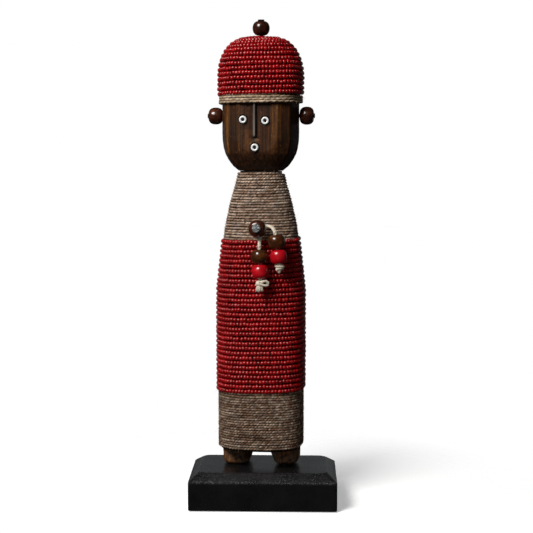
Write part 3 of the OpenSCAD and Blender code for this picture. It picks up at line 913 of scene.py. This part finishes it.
# Knife facets of the head seen from above: (angle of the normal in degrees, distance)
FACETS = [(-118.0, 25.55), (-163.0, 26.75), (-62.0, 25.6), (-17.0, 26.3), (-42.0, 27.9),
          (165.0, 26.75), (140.0, 27.6), (112.0, 24.9), (85.0, 22.8), (60.0, 25.9),
          (35.0, 27.9), (10.0, 26.3)]
# Where the stain is rubbed through on the head: (place across, width, low z, high z, amount)
RUBBED = [(-20.8, 0.45, 246, 281, 1.0), (-22.6, 1.4, 246, 281, 0.25),
          (-12.3, 0.4, 247, 279, 0.4), (8.0, 0.35, 247, 266, 0.75), (11.4, 1.9, 256, 279, 0.55),
          (11.0, 1.4, 246, 258, 0.3), (15.4, 0.8, 254, 281, 0.4), (-1.5, 3.5, 247, 256, 0.3),
          (-7.0, 4.0, 247, 262, 0.28)]
# The head's half width, its depth over its width, and the height of its dome
HEAD_HALF, HEAD_RATIO, HEAD_DOME = 26.8, 0.86, 24


def head_grid():
    """The head's points below its dome, with their rub, paint and lit values."""
    xs = np.concatenate([
        np.arange(-20.5, NOSE_X - 2.4, 0.42), np.arange(NOSE_X - 2.4, NOSE_X + 2.4, 0.16),
        np.arange(NOSE_X + 2.4, 20.6, 0.42),
    ])
    front = np.arctan2(FACE_Y, xs)
    rest = np.linspace(front[-1], front[0] + 2 * math.pi, 118)[1:-1]
    theta = np.concatenate([front, rest])
    z = np.concatenate([np.arange(234.3, 281.4, 0.42), [284, 288, 294, 299]])
    th, zz = np.meshgrid(theta, z)
    a = np.interp(zz, OUTLINE[:, 0], OUTLINE[:, 1])
    b = a * depth_ratio(zz)
    r = section(th, a, b)
    shrink = a / HEAD_HALF
    edge = np.full_like(r, 9.0)
    best = r.copy()
    for angle, distance in FACETS:
        c = np.cos(th - math.radians(angle))
        cut = np.where(c > 0.2, distance * shrink / np.maximum(c, 0.2), 99)
        edge = np.where(cut < best, np.minimum(edge, best - cut), np.minimum(edge, cut - best))
        best = np.minimum(best, cut)
    keep = ease(zz, 281.5, 284)
    r = best * (1 - keep) + r * keep
    x, y = r * np.cos(th), r * np.sin(th)
    faceted = np.exp(-((edge / 0.16) ** 2))
    at_front = y < 0
    # the flat front, and the nose ridge: a crest that leans left, with a steep right side
    below_band = 1 - ease(zz, 281.5, 283)
    y = np.where(at_front & (y < FACE_Y), FACE_Y * below_band + y * (1 - below_band), y)
    crest = NOSE_X + 0.2
    ridge = np.where(x < crest, 1 - (crest - x) / 1.7, 1 - (x - crest) / 1.0)
    ridge = np.clip(ridge * 1.5, 0, 1) ** 0.8 * ease(zz, 257.0, 258.2) * below_band
    ridge = np.where(at_front, ridge, 0)
    y = np.where(ridge > 0.01, np.minimum(y, FACE_Y - 1.6 * ridge), y)
    shadow_side = ease(x, crest - 0.3, crest + 0.2)
    # painted shade: the ridge's steep right side is blackened
    paint = ridge * 0.95 * shadow_side
    # painted shade in a strip to the right of the nose ridge; the wood isn't cut there
    groove = at_front * (1 - ease(np.abs(x - crest - 1.2), 0.3, 1.1)) * ease(zz, 258, 260)
    paint = np.maximum(paint, 0.85 * groove)
    # painted highlight: the ridge's left face is greyed by lit
    lit = np.clip(ridge * 1.2, 0, 1) * (1 - shadow_side) * (0.55 + 0.4 * ease(-zz, -276, -262))
    # sockets, a little ragged, blackened inside as painted shade
    for (ex, ez), rad in [(EYES[0], 3.35), (EYES[1], 3.35), (MOUTH, 3.4)]:
        angle = np.arctan2(zz - ez, x - ex)
        ragged = rad + 0.16 * noise_along(int(ez * 10), angle * 3 + 20, 1.0)
        d = np.hypot(x - ex, zz - ez)
        inside = (1 - ease(d, ragged - 0.25, ragged + 0.25)) * at_front
        y = y + 0.6 * inside
        lip = np.exp(-(((d - ragged - 0.35) / 0.3) ** 2)) * at_front
        y = y - 0.12 * lip * (1 + noise_along(int(ez * 7), angle * 5 + 30, 1.0))
        paint = np.maximum(paint, 0.93 * inside)
    # notch under the nose and hole under the mouth bead, blackened as painted shade
    notch = (np.exp(-(((x - NOSE_X) / 2.4) ** 2) - ((zz - 256.6) / 1.3) ** 2)
             + 0.8 * np.exp(-(((x - NOSE_X - 0.1) / 1.9) ** 2) - ((zz - 246.2) / 1.4) ** 2))
    notch = notch * at_front
    y = y + 0.5 * notch
    paint = np.clip(paint + 0.85 * notch, 0, 1)
    # tool marks
    tooling = 0.05 * noise_along(501, th * 26 + 0.05 * zz, 1.0) + 0.04 * noise_along(
        502, zz * 0.55 + 3 * np.sin(th * 5), 1.0)
    scale = 1 + tooling * (1 - keep) / np.hypot(x, y)
    x, y = x * scale, y * scale
    rub = np.zeros_like(x)
    for place, width, low, high, amount in RUBBED:
        rub += amount * np.exp(-(((x - place) / width) ** 2)) * at_front * (
            ease(zz, low - 2, low + 3)) * (1 - ease(zz, high, high + 1))
    rub += 0.75 * faceted * ~at_front * ease(zz, 243, 248)
    rub += 0.35 * faceted * ease(zz, 236, 242)
    # darker and less rubbed towards the chin
    chin = 1 - ease(zz, 243, 248)
    rub = rub * (1 - 0.75 * chin)
    return np.stack([x, y, zz], -1), rub, np.clip(paint + 0.28 * chin, 0, 1), lit


def leg_grid(fx, width, inner_lean, outer_lean, lift, seed):
    """A stubby foot at fx across. Its inner and outer sides lean in towards the sole, and
    the sole's front corner is rounded up by lift."""
    rows, cols, depth, y0 = 26, 72, 22.0, 2.0
    top, bottom = 42.0, 25.5
    z = bottom + (top - bottom) * (np.linspace(0, 1, rows) ** 1.5)
    th, zz = np.meshgrid(circle(cols), z)
    up = zz - bottom
    round_in = 2.6 * (1 - ease(up, 0, 3.2)) ** 2
    a, b = width / 2 - round_in + 0.05 * up, depth / 2 - round_in * 0.9 + 0.04 * up
    r = section(th, a, b, 3.6)
    r = r + 0.22 * noise_along(seed, th * 3.0, 1.0) + 0.14 * noise_along(seed + 1, zz + 4 * th, 2.0)
    outward = np.sign(fx) * np.cos(th)
    x = fx + r * np.cos(th) + np.sign(fx) * (
        np.clip(-outward, 0, 1) * inner_lean * (1 - ease(up, 0, 13))
        - np.clip(outward, 0, 1) * outer_lean * (1 - ease(up, 0, 6)))
    y = r * np.sin(th) + y0
    front = np.clip(-np.sin(th), 0, 1)
    zz = zz + lift * front * (1 - ease(up, 0, 6))
    return np.stack([x, y, zz], -1), x, zz


# The rest of the head is the dome under the hat.
wood = Build()
head, rub, paint, lit = head_grid()
dome_t = np.radians([15, 30, 45, 60, 72, 82, 88])
columns = np.arctan2(head[-1, :, 1], head[-1, :, 0])
caps = []
for t in dome_t:
    c, s = math.cos(t) ** (2 / DOME_ACROSS), math.sin(t) ** (2 / DOME_UP)
    r = section(columns, HEAD_HALF * c, HEAD_HALF * HEAD_RATIO * c)
    caps.append(round_axis(columns, r, DOME_Z + HEAD_DOME * s))
pad = np.zeros((len(caps), head.shape[1]))
wood.grid(np.concatenate([head, np.array(caps)]), rub=np.vstack([rub, pad]),
          paint=np.vstack([paint, pad]), lit=np.vstack([lit, pad]))
torso_z = np.concatenate([np.arange(39, 233, 3.0), [233.0, 234.0]])
# the torso under the windings is darkened
wood.grid(surface(*np.meshgrid(circle(96), torso_z)), rub=0.0, paint=0.35, lit=0.0)
for fx, width, inner_lean, outer_lean, lift, seed in [(-16.2, 21.0, 2.8, 0.3, 0.0, 601),
                                                      (17.1, 20.0, 3.4, 1.8, 1.4, 611)]:
    pts, lx, lz = leg_grid(fx, width, inner_lean, outer_lean, lift, seed)
    if fx < 0:
        leg_rub_and_light, dust = 0.8 * np.exp(-(((lx - fx + 7) / 3.5) ** 2)) + 0.5, 0.15
    else:
        # the right foot's front, in shadow under the skirt, gets extra rub and dust as painted light
        # besides its real rub
        leg_rub_and_light = 1.6 * np.exp(-(((lx - fx) / 3.4) ** 2) - ((lz - 31) / 6) ** 2) + 1.0
        dust = 0.30 * ease(-pts[..., 1], 2, 7)
    blots = noise_along(seed + 3, lx * 0.9 + lz * 0.8 + 40, 2.4) + noise_along(
        seed + 4, lz - lx * 0.7 + 40, 1.9)
    worn_off = noise_along(seed + 5, lx + lz * 0.4 + 40, 1.5) + noise_along(
        seed + 6, lz * 1.2 - lx * 0.5 + 60, 1.3)
    # darker towards the sole, with random dark blots
    wood.grid(pts, rub=leg_rub_and_light * (1 + 0.5 * worn_off),
              paint=np.clip(0.6 * (1 - ease(lz, 26, 28)) + 0.8 * ease(blots, 0.2, 0.9), 0, 0.85),
              lit=dust * ease(lz, 26, 30) * np.clip(1 + 0.9 * worn_off, 0, 2))
# the stub that the raised right foot stands on, blackened as painted shade under the foot
stub = circle(28)
wood.grid(np.array([
    np.stack([17.4 + (4.4 - 0.6 * k) * np.cos(stub), -0.5 + (8.2 - 0.4 * k) * np.sin(stub),
              np.full(28, 25.5 + 1.2 * k)], 1) for k in range(4)
]), rub=0.0, paint=0.9, lit=0.0)
wood.object("carved_wood", WOOD, "doll", replaced=("carved_figure",))

# ---------------------------------------------------------------- plinth and nails


def plinth_block():
    """The block with softly worn edges and an edge value for the wear."""
    low, high = (np.array(v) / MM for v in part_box("plinth"))
    run, drop = 7.0, 5.5
    w, d, h = high - low
    build = Build()
    # levels from the underside up: (inset, height, edge value)
    levels = [(0.9, 0.0, 0.2), (0.25, 0.25, 0.3), (0.0, 0.9, 0.1)]
    levels += [(0.0, z, 0.0) for z in np.linspace(2.0, h - drop - 1.2, 9)]
    levels += [(0.0, h - drop - 0.45, 0.5), (0.10, h - drop, 1.0),
               (0.50, h - drop + 0.32, 0.8)]
    levels += [(run * t - 0.12, h - drop + drop * t + 0.05, 0.34) for t in (0.2, 0.4, 0.6, 0.8)]
    levels += [(run - 0.2, h - 0.14, 0.3), (run, h - 0.02, 0.35), (run + 0.4, h, 0.1)]

    def loop(inset, z):
        rx, ry = w / 2 - inset, d / 2 - inset
        corner = 1.5 + 0.55 * inset
        pts = []
        for cx, cy, a0 in [(rx - corner, ry - corner, 0), (-rx + corner, ry - corner, 90),
                           (-rx + corner, -ry + corner, 180), (rx - corner, -ry + corner, 270)]:
            for a in np.radians(a0 + np.linspace(0, 90, 6)):
                pts.append((cx + corner * math.cos(a), cy + corner * math.sin(a), z))
        # points along the straights
        whole = []
        for i, p in enumerate(pts):
            q = pts[(i + 1) % len(pts)]
            whole.append(p)
            if i % 6 == 5:
                n = 40 if abs(p[0] - q[0]) > abs(p[1] - q[1]) else 26
                for s in np.linspace(0, 1, n + 1)[1:-1]:
                    whole.append(tuple(np.array(p) * (1 - s) + np.array(q) * s))
        return np.array(whole)

    rows = np.array([loop(inset, z) for inset, z, _ in levels])
    values = np.array([v for _, _, v in levels])[:, None] * np.ones((1, rows.shape[1]))
    # hand-sanded unevenness of the long edges
    m = rows.shape[1]
    wave = 0.10 * noise_along(701, np.arange(m), 6.0)
    rows[:, :, :2] *= 1 + (wave[None, :, None] / 60) * (values[..., None] > 0.3)
    # the top closes in on the middle in rings, so that the face is an even grid
    centre = np.array([0, 0, h])
    rings = [rows[-1] * (1 - s) + centre * s for s in (0.15, 0.35, 0.6, 0.85)]
    rows = np.concatenate([rows, np.array(rings)])
    values = np.vstack([values, np.zeros((len(rings), m))])
    mid = np.array([(low[0] + high[0]) / 2, (low[1] + high[1]) / 2, low[2]])
    build.grid((rows + mid) * MM, edge=values)
    block = build.object("plinth_block", STAIN, "doll", replaced=("plinth",),
                         local=False)
    block.data.set_sharp_from_angle(angle=math.radians(22))


def chest_nail():
    """The nail through the chest bead, with a hammered head."""
    axis = unit(np.array(CHEST_AXIS))
    side = np.array([1.0, 0, 0])
    up = np.cross(side, axis)
    grip = node_centre("chest_bead") + axis * 5.15
    a = circle(40)
    # (radius, distance out from the head's underside) from the point to the crown
    outline = [(0.05, -28.6), (1.26, -26.8), (1.28, 0.0), (2.6, 0.0), (2.95, 0.12), (3.0, 0.4),
               (2.85, 0.66), (2.5, 0.78), (2.0, 0.82), (1.5, 0.84), (1.0, 0.86), (0.5, 0.86)]
    rows = []
    for radius, height in outline:
        dents = np.zeros(len(a))
        if height > 0.7:
            dents = 0.10 * (noise_along(811, 9 + radius * np.cos(a), 0.55)
                            + noise_along(812, 9 + radius * np.sin(a), 0.55))
        edge = radius * (1 + 0.025 * np.cos(3 * a + 1) * (radius > 2))
        rows.append(grip + axis * (height + dents)[:, None]
                    + (np.cos(a) * edge)[:, None] * side + (np.sin(a) * edge)[:, None] * up)
    build = Build()
    build.grid(np.array(rows))
    build.object("chest_nail_hammered", STEEL, "doll", replaced=("chest_nail",))


plinth_block()
chest_nail()
# Small CAD nodes that are shown as they are, with a look of their own
for nodes, material, slot in [
    (("plinth_screws",), STEEL, "nail_steel"),
    (("left_eye_bead", "right_eye_bead", "mouth_bead"), CERAMIC, "ring_beads"),
    (("face_pins", "ear_nails", "crown_nail"), DARK_NAIL, "nail_dark"),
    (("cord_loop",), CORD, "cord"),
]:
    for node in nodes:
        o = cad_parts[node]
        o.data.materials.clear()
        o.data.materials.append(material)
        if material is CERAMIC:
            o.data.polygons.foreach_set("use_smooth", [True] * len(o.data.polygons))

# ---------------------------------------------------------------- stage
ground = cad_bounds[0][2]
BACKDROP_R = 4.0


def turned(name, material, profile, sides):
    """A stage surface turned about the upright axis from (radius, height) places."""
    build = Build()
    build.grid(np.array([round_axis(circle(sides), r, z) for r, z in profile]), cap=False)
    return build.object(name, material, None, local=False)


floor_look = Look("pale_floor", rough=0.9, Specular=0.1)
away = floor_look.node("ShaderNodeVectorMath", {0: floor_look.coords((1, 1, 0))},
                       operation="LENGTH").outputs["Value"]
floor_look.set(Base=floor_look.ramp(floor_look.spots(3), [(0.2, 0.90), (0.8, 0.95)]),
               Alpha=floor_look.ramp(away, [(0.06, 1.0), (0.22, 0.0)]))
floor_look.set(Glow=(1, 1, 1), GlowStrength=0.3)
floor = turned("floor", floor_look.material,
               [(r, ground - 0.0004) for r in np.linspace(1.2, 0.002, 24)], 96)
floor.visible_glossy = floor.visible_diffuse = False

white = bpy.data.materials.new("backdrop_white")
white.use_nodes = True
white.node_tree.nodes.clear()
glow = white.node_tree.nodes.new("ShaderNodeEmission")
glow.inputs["Color"].default_value = (1, 1, 1, 1)
glow.inputs["Strength"].default_value = 1.0
white_out = white.node_tree.nodes.new("ShaderNodeOutputMaterial")
white.node_tree.links.new(glow.outputs[0], white_out.inputs["Surface"])
BACKDROP_LOW = ground - 0.05
sheet = [(r, BACKDROP_LOW) for r in np.linspace(BACKDROP_R, 0.002, 24)]
shell = [(BACKDROP_R * math.cos(e), BACKDROP_R * math.sin(e) + BACKDROP_LOW)
         for e in np.linspace(0, math.pi / 2 - 0.01, 24)]
# The white backdrop is there for the camera only
for o in (turned("backdrop", white, sheet, 96), turned("backdrop_dome", white, shell, 64)):
    o.visible_diffuse = o.visible_glossy = o.visible_transmission = False
    o.visible_shadow = o.visible_volume_scatter = False

world = bpy.data.worlds.new("studio")
scene.world = world
world.use_nodes = True
background = world.node_tree.nodes["Background"]
background.inputs["Color"].default_value = (0.86, 0.93, 1.0, 1)
background.inputs["Strength"].default_value = 0.022


def softbox(name, azimuth, elevation, distance, size, power, colour=(1, 1, 1), target=0.19):
    """A soft area light; azimuth is degrees to the viewer's left of the camera."""
    data = bpy.data.lights.new(name, "AREA")
    data.shape = "RECTANGLE"
    data.size, data.size_y = size
    data.energy = power
    data.color = colour
    o = bpy.data.objects.new(name, data)
    a, e = math.radians(azimuth - CAMERA_YAW), math.radians(elevation)
    direction = Vector((-math.sin(a) * math.cos(e), -math.cos(a) * math.cos(e), math.sin(e)))
    aim = Vector((0, 0, target))
    o.location = aim + direction * distance
    o.rotation_euler = direction.to_track_quat("Z", "Y").to_euler()
    o.visible_camera = False
    scene.collection.objects.link(o)
    return o


softbox("key", 38, 40, 1.15, (0.45, 0.45), 18.6, (1.0, 0.985, 0.96))
# The back of the figure is lit from behind by two boxes that cast no shine or shadow
for side in (-148, 150):
    fill = softbox("back_fill", side, 4, 1.2, (0.5, 0.6), 4.2, (0.96, 0.98, 1.0))
    fill.visible_glossy = False
    fill.data.use_shadow = False
# A faint light from low in front reaches under the skirt, without a shine of its own
front_fill = softbox("front_fill", 0, 2, 0.7, (0.4, 0.2), 0.36, (1.0, 0.97, 0.93), target=0.03)
front_fill.visible_glossy = False
# The white wall behind shows only in glossy surfaces
wall = softbox("white_wall", 180, 5, 1.5, (2.4, 0.6), 0.85, (0.95, 0.98, 1.0))
wall.visible_diffuse = False

scene.view_settings.view_transform = "Standard"
scene.view_settings.look = "None"
